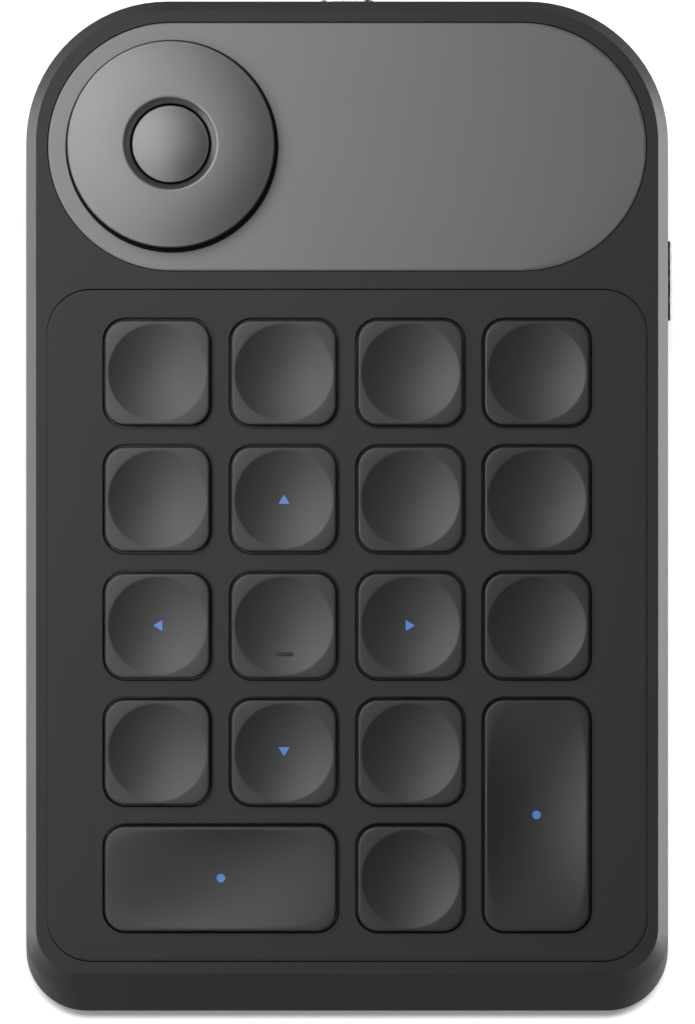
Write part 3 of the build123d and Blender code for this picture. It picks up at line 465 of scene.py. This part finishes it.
def dish_bowl(points, columns, rows):
    """Depth of the dish as a share of its depth in the middle, 0 at the rim and negative outside.

    Round bowl: 1 - r^2, where r is 1 at the rim. Long bowl, where u and v are the squares of the
    places along and across the key, both 1 at the rim: (1 - u)(1 - fade u)(1 - v) - corner u^2 v^2.
    """
    if columns == rows:
        return 1 - (points**2).sum(axis=-1) / dish_radius**2
    square = (points / (np.array([columns - 1, rows - 1]) * key_pitch / 2 + dish_radius)) ** 2
    lengthwise, crosswise = (0, 1) if columns > rows else (1, 0)
    u, v = square[..., lengthwise], square[..., crosswise]
    return (1 - u) * (1 - dish_fade * u) * (1 - v) - dish_corner * u**2 * v**2


def dish_height(points, columns, rows):
    """Height of the dish: top minus depth times the bowl, never above the top."""
    return cap_top - dish_depth * np.clip(dish_bowl(points, columns, rows), 0, 1)


def dish_rim_loop(land, columns, rows):
    """Where the line from the key's middle to each point of the land crosses the rim.

    The crossing is found by halving the stretch between a sunk point and one that isn't sunk.
    """
    inside, outside = np.zeros((len(land), 1)), np.ones((len(land), 1))
    for _ in range(rim_halvings):
        middle = (inside + outside) / 2
        sunk = dish_bowl(middle * land, columns, rows)[:, None] > 0
        inside, outside = np.where(sunk, middle, inside), np.where(sunk, outside, middle)
    return inside * land


def level(points, height):
    """A flat ring at one height."""
    return np.concatenate([points, np.full((len(points), 1), height)], axis=1)


def cap_top_rings(loop, outward, columns, rows):
    """Rings of a cap's top: the dish from its middle out, then the flat land and the rounded edge.

    The edge is a quarter circle: land + round sin a outwards, at top - round (1 - cos a).
    """
    land = loop - cap_round * outward
    rim = dish_rim_loop(land, columns, rows)
    rings = []
    for share in dish_shares:
        ring = share * rim
        rings.append(np.concatenate([ring, dish_height(ring, columns, rows)[:, None]], axis=1))
    rings.append(level(rim, cap_top - rim_drop))
    outer_rim = rim * (1 + dish_rim / np.linalg.norm(rim, axis=1, keepdims=True))
    for share in land_shares:
        rings.append(level(outer_rim * (1 - share) + land * share, cap_top))
    for angle in edge_angles:
        ring = land + cap_round * math.sin(angle) * outward
        rings.append(level(ring, cap_top - cap_round * (1 - math.cos(angle))))
    return rings


def cap_grid(columns, rows):
    """Rings of a cap, from the middle of its dish over the edge and back to its roof's middle."""
    half_x = cap_half - cap_draft + (columns - 1) * key_pitch / 2
    half_y = cap_half - cap_draft + (rows - 1) * key_pitch / 2
    loop, outward = rounded_loop(half_x, half_y, cap_radius - cap_draft)
    rings = cap_top_rings(loop, outward, columns, rows)
    flange = opening_half + flange_out - (cap_half - cap_draft)
    inner = cap_draft - cap_wall
    profile = [(draft_start * cap_draft, cap_top - skirt_start)]
    profile += [((1 - draft_start) * cap_draft, flange_top + cap_round)]
    profile += [(cap_draft, flange_top), (flange, flange_top), (flange, flange_bottom)]
    profile += [(inner, flange_bottom), (inner, cap_inside)]
    rings += [level(loop + out * outward, height) for out, height in profile]
    roof = loop + inner * outward
    for share in roof_shares:
        rings.append(level(roof * (1 - share), cap_inside))
    return np.stack(rings)


def cap_stem(x, y):
    """The guide tube and the plunger under a cap, as two turned shapes."""
    tube = [(stem_radius, cap_inside), (stem_radius, stem_foot), (stem_bore, stem_foot)]
    tube += [(stem_bore, cap_inside), (stem_radius, cap_inside)]
    plunger = [(0, cap_inside), (plunger_radius, cap_inside), (plunger_radius, plunger_foot)]
    plunger += [(0, plunger_foot)]
    return [lathe(profile, x, y)[:, ::stem_skip] for profile in (tube, plunger)]


def key_place(column, row, columns, rows):
    """Middle of a key on the deck, from its first column and row and its size in units."""
    return (column + (columns - 4) / 2) * key_pitch, field_y - (row + (rows - 5) / 2) * key_pitch


# %% Make the eighteen caps
squares = [(row, column) for row in range(4) for column in range(4)]
keys = {f"r{row + 1}c{column + 1}": (column, row, 1, 1) for row, column in squares}
del keys["r4c4"]
keys.update({"r5c3": (2, 4, 1, 1), "wide": (0, 4, 2, 1), "tall": (3, 3, 1, 2)})
for key_name, (column, row, columns, rows) in keys.items():
    x, y = key_place(column, row, columns, rows)
    grid = cap_grid(columns, rows) + [x, y, 0]
    cap = surface(
        f"keycap_{key_name}_look",
        [on_deck(grid)] + cap_stem(x, y),
        f"key_{key_name}",
        [f"keycap_{key_name}"],
    )
    cap.data.materials.append(finishes["key_plastic"])
print("caps made:", len(keys))

# %% [markdown]
# ## Prints on the keys
#
# Four keys carry a small blue triangle that points one way each, and the two long keys a blue dot.
# They are pad prints: a film of ink a few hundredths of a millimetre thick that follows the dish. A
# texture would do, but a thin closed piece keeps a clean edge at any zoom. The home key has a short
# raised bar, moulded with the cap. It mirrors less than the cap does, so it reads a little darker.

# %% Print surface
ink_lift = 0.02 * mm
ink_sink = 0.03 * mm
ink_rings = 5


def print_grid(outline, key):
    """Rings of a print, shrunk towards its middle on top and grown again below, on the dish."""
    column, row, columns, rows = keys[key]
    x, y = key_place(column, row, columns, rows)
    middle = outline.mean(axis=0)
    shares = np.linspace(0, 1, ink_rings)
    flat = middle + shares[:, None, None] * (outline - middle)
    height = dish_height(flat, columns, rows)[..., None]
    top = np.concatenate([flat, height + ink_lift], axis=-1)
    under = np.concatenate([flat, height - ink_sink], axis=-1)[::-1]
    return on_deck(np.concatenate([top, under]) + [x, y, 0])


def rounded_polygon(corners, radius, steps):
    """Outline of a polygon whose corners are rounded, as arcs of one radius round inset corners."""
    corners = np.asarray(corners)
    ahead = np.roll(corners, -1, axis=0) - corners
    ahead /= np.linalg.norm(ahead, axis=1, keepdims=True)
    behind = np.roll(corners, 1, axis=0) - corners
    behind /= np.linalg.norm(behind, axis=1, keepdims=True)
    half = np.arccos((ahead * behind).sum(axis=1)) / 2
    inward = (ahead + behind) / np.linalg.norm(ahead + behind, axis=1, keepdims=True)
    centres = corners + inward * (radius / np.sin(half))[:, None]
    first = np.arctan2(-inward[:, 1], -inward[:, 0]) - (math.pi / 2 - half)
    angles = first[:, None] + (math.pi - 2 * half)[:, None] * np.linspace(0, 1, steps)
    arcs = centres[:, None] + radius * np.stack([np.cos(angles), np.sin(angles)], axis=-1)
    return arcs.reshape(-1, 2)


# %% Make the prints
triangle_width = 1.9 * mm
triangle_height = 1.56 * mm
triangle_round = 0.12 * mm
triangle_steps = 6
dot_radius = 0.72 * mm
dot_steps = 40
arrow_turns = {"r2c2": 0, "r3c1": 90, "r4c2": 180, "r3c3": 270}
upright = np.array([[-0.5, -0.5], [0.5, -0.5], [0.0, 0.5]]) * [triangle_width, triangle_height]
for key_name, turn in arrow_turns.items():
    angle = math.radians(turn)
    spin = np.array([[math.cos(angle), math.sin(angle)], [-math.sin(angle), math.cos(angle)]])
    outline = rounded_polygon(upright @ spin, triangle_round, triangle_steps)
    arrow = surface(f"print_arrow_{key_name}", [print_grid(outline, key_name)], f"key_{key_name}")
    arrow.data.materials.append(finishes["print_blue"])
for key_name in ("wide", "tall"):
    angle = np.linspace(0, 2 * math.pi, dot_steps, endpoint=False)
    outline = dot_radius * np.stack([np.cos(angle), np.sin(angle)], axis=-1)
    dot = surface(f"print_dot_{key_name}", [print_grid(outline, key_name)], f"key_{key_name}")
    dot.data.materials.append(finishes["print_blue"])
print("prints made:", len(arrow_turns) + 2)

# %% Home bar
bar_length = 2.97 * mm
bar_width = 0.6 * mm
bar_y = -4.76 * mm
bar_height = 0.22 * mm
bar_corner = 0.22 * mm
bar_profile = ((0, 1), (0.5, 1), (0.85, 0.97), (1, 0.7), (1, -0.6), (0, -0.6))
bar_loop, _ = rounded_loop(bar_length / 2, bar_width / 2, bar_corner)
bar_rings = []
for share, lift in bar_profile:
    ring = bar_loop * share + [0, bar_y]
    height = dish_height(ring, 1, 1)[:, None] + lift * bar_height
    bar_rings.append(np.concatenate([ring, height], axis=1))
home_x, home_y = key_place(1, 2, 1, 1)
bar_grid = on_deck(np.stack(bar_rings) + [home_x, home_y, 0])
home_bar = surface("home_bar", [bar_grid], "key_r3c2")
home_bar.data.materials.append(finishes["case_plastic"])
print("home bar made, rings:", len(bar_rings))

# %% [markdown]
# ## The dial
#
# The dial is a blasted metal ring on a black skirt. The ring is very slightly crowned, so it fades
# from bright to dark from one side to the other, and its middle is countersunk to a smaller button
# whose own crown fades the same way. All three are turned shapes, so each is one profile spun about
# the dial's axis, with short arcs wherever the real part has a softened edge.

# %% Dial profiles
ring_bore = 6.75 * mm
ring_radius = 17.26 * mm
skirt_radius = 17.8 * mm
skirt_foot = 0.3 * mm
skirt_top = 2.4 * mm
ring_round = 0.28 * mm
crown_height = 3.92 * mm
crown_flat = 6.0 * mm
crown_ball = 71.0 * mm
crown_steps = 24
sink_radius = 7.6 * mm
sink_foot = 3.15 * mm
sink_lip = 0.1 * mm
sink_soft = 0.08 * mm
bore_soft = 0.05 * mm
edge_turn = 80
turned_angle = 35.0


def crown_curve(radius):
    """Height of the ring's crown: it leaves the flat at one radius and curves down like a ball."""
    return crown_height - (radius - crown_flat) ** 2 / (2 * crown_ball)


def turned(name, profile, body, slot, node):
    """A turned piece on the dial's axis, with the finish of its slot."""
    item = surface(name, [lathe(profile, dial_x, dial_y)], body, [node], turned_angle)
    item.data.materials.append(finishes[slot])


crown_span =np.linspace(ring_radius - ring_round, sink_radius + sink_lip, crown_steps)
crown_points = np.stack([crown_span, crown_curve(crown_span)], axis=-1)
rim_height = crown_points[0, 1]
ring_edge = arc((ring_radius - ring_round, rim_height - ring_round), ring_round, 0, edge_turn, 8)
ring_profile = [(ring_bore, skirt_top), (ring_radius, skirt_top)]
ring_profile += ring_edge.tolist() + crown_points.tolist()
ring_profile += [(sink_radius, crown_height - sink_soft)]
ring_profile += [(ring_bore + sink_soft, sink_foot + bore_soft)]
ring_profile += [(ring_bore, sink_foot - bore_soft), (ring_bore, skirt_top)]
turned("dial_ring_look", ring_profile, "dial", "dial_metal", "dial_ring")
print("ring's rim above the deck in mm:", round(rim_height / mm, 2))

# %% Skirt
hub_bore = 6.4 * mm
boss_radius = 7.6 * mm
boss_foot = -2.8 * mm
web_height = 1.4 * mm
skirt_wall = 1.2 * mm
skirt_edge = 0.12 * mm
skirt_lean = 0.38 * mm
skirt_lip = 0.5 * mm
seat_height = 1.3 * mm
skirt_profile = [(hub_bore, boss_foot), (boss_radius, boss_foot), (boss_radius, web_height)]
skirt_profile += [(skirt_radius - skirt_wall, web_height), (skirt_radius - skirt_wall, skirt_foot)]
skirt_profile += [(skirt_radius - skirt_edge, skirt_foot), (skirt_radius, skirt_foot + skirt_edge)]
skirt_profile += [(skirt_radius - skirt_lean, skirt_top - skirt_edge)]
skirt_profile += [(skirt_radius - skirt_lip, skirt_top)]
skirt_profile += [(ring_bore, skirt_top), (ring_bore, seat_height)]
skirt_profile += [(hub_bore, seat_height), (hub_bore, boss_foot)]
turned("dial_skirt_look", skirt_profile, "dial", "dial_black", "dial_skirt")
print("points in the skirt's profile:", len(skirt_profile))

# %% Centre button
button_radius = 6.5 * mm
button_foot = 1.95 * mm
button_rim = 2.85 * mm
button_round = 0.3 * mm
button_crown = 3.75 * mm
button_steps = 20
stem_reach = 3.94 * mm
stem_end = -5.8 * mm
flat_radius = button_radius - button_round
button_rise = button_crown - button_rim - button_round
ball = (flat_radius**2 + button_rise**2) / (2 * button_rise)
button_span = np.linspace(flat_radius, 0, button_steps)
button_top = button_crown - ball + np.sqrt(ball**2 - button_span**2)
button_edge = arc((flat_radius, button_rim), button_round, 0, edge_turn, 7)
button_profile = [(0, stem_end), (stem_reach, stem_end), (stem_reach, button_foot)]
button_profile += [(button_radius, button_foot)] + button_edge.tolist()
button_profile += np.stack([button_span, button_top], axis=-1).tolist()
turned("dial_button_look", button_profile, "centre_button", "dial_metal", "dial_button")
print("the button's crown is part of a ball, radius in mm:", round(ball / mm, 1))

# %% [markdown]
# ## Studio: the floor
#
# The keypad lies on a pale floor and is seen from straight above its deck. White paper so near
# would throw its own light up at the sloping edges and flatten them, so the floor is hidden from
# the rays that bounce off the keypad, and only the camera and the lamps' shadows find it.

# %% Floor
floor_half = 3.0
floor_mesh = bpy.data.meshes.new("floor")
corners = np.array([[-1, -1, 0], [1, -1, 0], [1, 1, 0], [-1, 1, 0]]) * floor_half
floor_mesh.from_pydata(corners, [], [(0, 1, 2, 3)])
floor = bpy.data.objects.new("floor", floor_mesh)
bpy.context.scene.collection.objects.link(floor)
paper = finish_material("floor_paper", tint(250, 250, 250), 0.9, depth=0.02, mottle=0.01)
floor_mesh.materials.append(paper)
floor.visible_diffuse = False
floor.visible_glossy = False
print("floor made, side in metres:", 2 * floor_half)

# %% [markdown]
# ## Studio: how a lamp is made
#
# Every lamp here has a list of pieces that it may light. That is what a studio does with flags and
# masks, and it lets one edge be brightened without washing out its neighbour. The lamps are not
# sampled by the rays that bounce off a surface, only aimed at directly, because with both ways on
# the linked lamps brightened pieces that they should have left alone.

# %% Lamp helpers


def light_link(name, pieces, state):
    """A light-linking collection: its pieces are the only ones lit, or the only ones left out."""
    links = bpy.data.collections.new(name)
    for piece in pieces:
        links.objects.link(piece)
    for entry in links.collection_objects:
        entry.light_linking.link_state = state
    return links


def add_light(kind, name, polar, azimuth, links):
    """A light at the tent's distance, seen from the keypad at a polar angle and an azimuth."""
    data = bpy.data.lights.new(name, kind)
    item = bpy.data.objects.new(name, data)
    bpy.context.scene.collection.objects.link(item)
    tip, turn = math.radians(polar), math.radians(azimuth)
    toward = Vector((math.sin(tip) * math.cos(turn), math.sin(tip) * math.sin(turn), math.cos(tip)))
    item.location = toward * tent_radius + tent_centre
    item.rotation_euler = (-toward).to_track_quat("-Z", "Y").to_euler()
    item.light_linking.receiver_collection = links
    item.visible_camera = False
    data.cycles.use_multiple_importance_sampling = False
    return data


def glow(data, width, height, brightness):
    """Makes an area light an even rectangle: power = pi times its area times its brightness."""
    data.shape = "RECTANGLE"
    data.size = width
    data.size_y = height
    data.energy = math.pi * width * height * brightness


# %% Which pieces a lamp may light


def pieces_named(*starts):
    """All pieces whose name begins with one of the given words."""
    return [item for item in bpy.data.objects if item.name.startswith(starts)]


no_floor = light_link("all_but_floor", [floor], "EXCLUDE")
only_floor = light_link("floor_only", [floor], "INCLUDE")
shell_names = ("top_shell_look", "bottom_shell_look", "power_button_look")
shells = [bpy.data.objects[name] for name in shell_names]
only_shells = light_link("shells_only", shells, "INCLUDE")
groups = {"caps": pieces_named("keycap"), "dial": pieces_named("dial_ring", "dial_button")}
only_group = {name: light_link(f"{name}_only", group, "INCLUDE") for name, group in groups.items()}
print("pieces lit on their own:", {name: len(group) for name, group in groups.items()})

# %% [markdown]
# ## Studio: the tent and the strips
#
# The main light is a tent of soft square panels just under half a metre away. The bright ones stand
# high at the left and behind, so the far side of every dish glows and its near side stays dark, and
# the brightness falls from the left of the deck to the right. In front there is nearly nothing,
# which is why the front bevel is the darkest face.
#
# Low strips at the left and right only reach the caps and the dial, where they draw the thin light
# lines on the edges. They stay faint: a strong low lamp turns the key tops white when they are seen
# from the other side. Two narrow strong strips stand below the plane of the deck and are linked to
# the shells and the side button, so they brighten the side bevels and touch the corners, and leave
# the top as it is.

# %% Tent of panels
tent_radius = 0.45
tent_centre = Vector((0.0, 0.0, 0.012))
tent_side = 0.23
tent_gain = 4.5
tent = [(22, 0, 0.05), (22, 120, 0.52), (22, 180, 0.48), (22, 240, 0.15), (22, 300, 0.02)]
tent += [(42, 45, 0.04), (42, 90, 0.14), (42, 135, 0.77), (42, 180, 0.41), (42, 225, 0.30)]
tent += [(42, 270, 0.02)]
for polar, azimuth, brightness in tent:
    panel = add_light("AREA", f"panel_{polar}_{azimuth}", polar, azimuth, no_floor)
    glow(panel, tent_side, tent_side, tent_gain * brightness)
print("panels in the tent:", len(tent))

# %% Low strips and side strips
low_polar = 82
low_size = (0.5, 0.06)
low_strips = [("caps", 180, 2.5), ("dial", 180, 5.0), ("dial", 0, 0.8)]
for group, azimuth, brightness in low_strips:
    strip = add_light("AREA", f"{group}_strip_{azimuth}", low_polar, azimuth, only_group[group])
    glow(strip, *low_size, brightness)

side_size = (0.26, 0.008)
side_reach = 0.185
side_height = 0.005
side_strips = [("left", -1, 94.0), ("right", 1, 146.0)]
for name, side, brightness in side_strips:
    strip = add_light("AREA", f"{name}_bevel_strip", 90, 90 - 90 * side, only_shells)
    glow(strip, *side_size, brightness)
    place = bpy.data.objects[f"{name}_bevel_strip"]
    place.location = (side * side_reach, 0.0, side_height)
    place.rotation_euler = Vector((-side, 0.0, 0.0)).to_track_quat("-Z", "Y").to_euler()
print("strips:", len(low_strips) + len(side_strips))

# %% [markdown]
# ## Studio: the floor's lamps and the backdrop
#
# The floor has lamps of its own, or the tent's panels would cross it with a shadow in every
# direction. One broad lamp overhead fills it. Five more lean in from behind, side by side, and
# leave one short soft shadow before the front edge.
#
# The backdrop is white to the camera. To a mirror it is dark overhead and brightens towards the
# horizon, so a low view still finds something to reflect in the dial, while the view from above
# is left to the panels. It gives no other light.

# %% Floor lamps
fill_lamp = (0.0, 0.0, 60, 1.15)
back_tilt = 0.62
back_spread = 22
back_strength = 0.7
back_row = (-0.4, -0.2, 0.0, 0.2, 0.4)
floor_lamps = [fill_lamp] + [(reach, back_tilt, back_spread, back_strength) for reach in back_row]
for number, (aside, behind, spread, strength) in enumerate(floor_lamps):
    polar = math.degrees(math.atan(math.hypot(aside, behind)))
    azimuth = math.degrees(math.atan2(behind, aside))
    lamp = add_light("SUN", f"floor_lamp_{number}", polar, azimuth, only_floor)
    lamp.angle = math.radians(spread)
    lamp.energy = strength / math.cos(math.radians(polar))
print("lamps on the floor:", len(floor_lamps))

# %% Backdrop
low_sky_range = {"From Min": 0.5, "From Max": 0.25, "To Min": 0.0, "To Max": 0.6}
world = bpy.data.worlds.new("studio")
world.use_nodes = True
studio = world.node_tree
backdrop = studio.nodes["Background"]
backdrop.inputs["Color"].default_value = (1, 1, 1, 1)
ray = studio.nodes.new("ShaderNodeLightPath")
way = studio.nodes.new("ShaderNodeTexCoord")
split = studio.nodes.new("ShaderNodeSeparateXYZ")
low_sky = studio.nodes.new("ShaderNodeMapRange")
for socket, value in low_sky_range.items():
    low_sky.inputs[socket].default_value = value
studio.links.new(way.outputs["Generated"], split.inputs[0])
studio.links.new(split.outputs["Z"], low_sky.inputs["Value"])
mirrored = math_node(studio, "MULTIPLY", low_sky.outputs[0], ray.outputs["Is Glossy Ray"])
strength = math_node(studio, "ADD", mirrored, ray.outputs["Is Camera Ray"])
studio.links.new(strength, backdrop.inputs["Strength"])
bpy.context.scene.world = world
bpy.context.scene.view_settings.view_transform = "Standard"
print("backdrop nodes:", len(studio.nodes))

# %% [markdown]
# ## Camera
#
# The camera looks straight down on the deck, so it leans with the deck's slope.

# %% Camera
sensor_width = 36.0
view_centre = (0.06 * mm, -0.86 * mm)
view_length = 171.5 * mm
camera_distance = 430.0 * mm
camera_data = bpy.data.cameras.new("camera")
camera_data.sensor_width = sensor_width
camera_data.lens = sensor_width * camera_distance / view_length
camera = bpy.data.objects.new("camera", camera_data)
bpy.context.scene.collection.objects.link(camera)
camera_place = on_deck([view_centre[0], view_centre[1], camera_distance])
axes = np.stack([across, along, normal, camera_place], axis=1)
camera.matrix_world = Matrix([*axes.tolist(), [0, 0, 0, 1]])
bpy.context.scene.camera = camera
print("lens in mm:", round(camera_data.lens, 1))
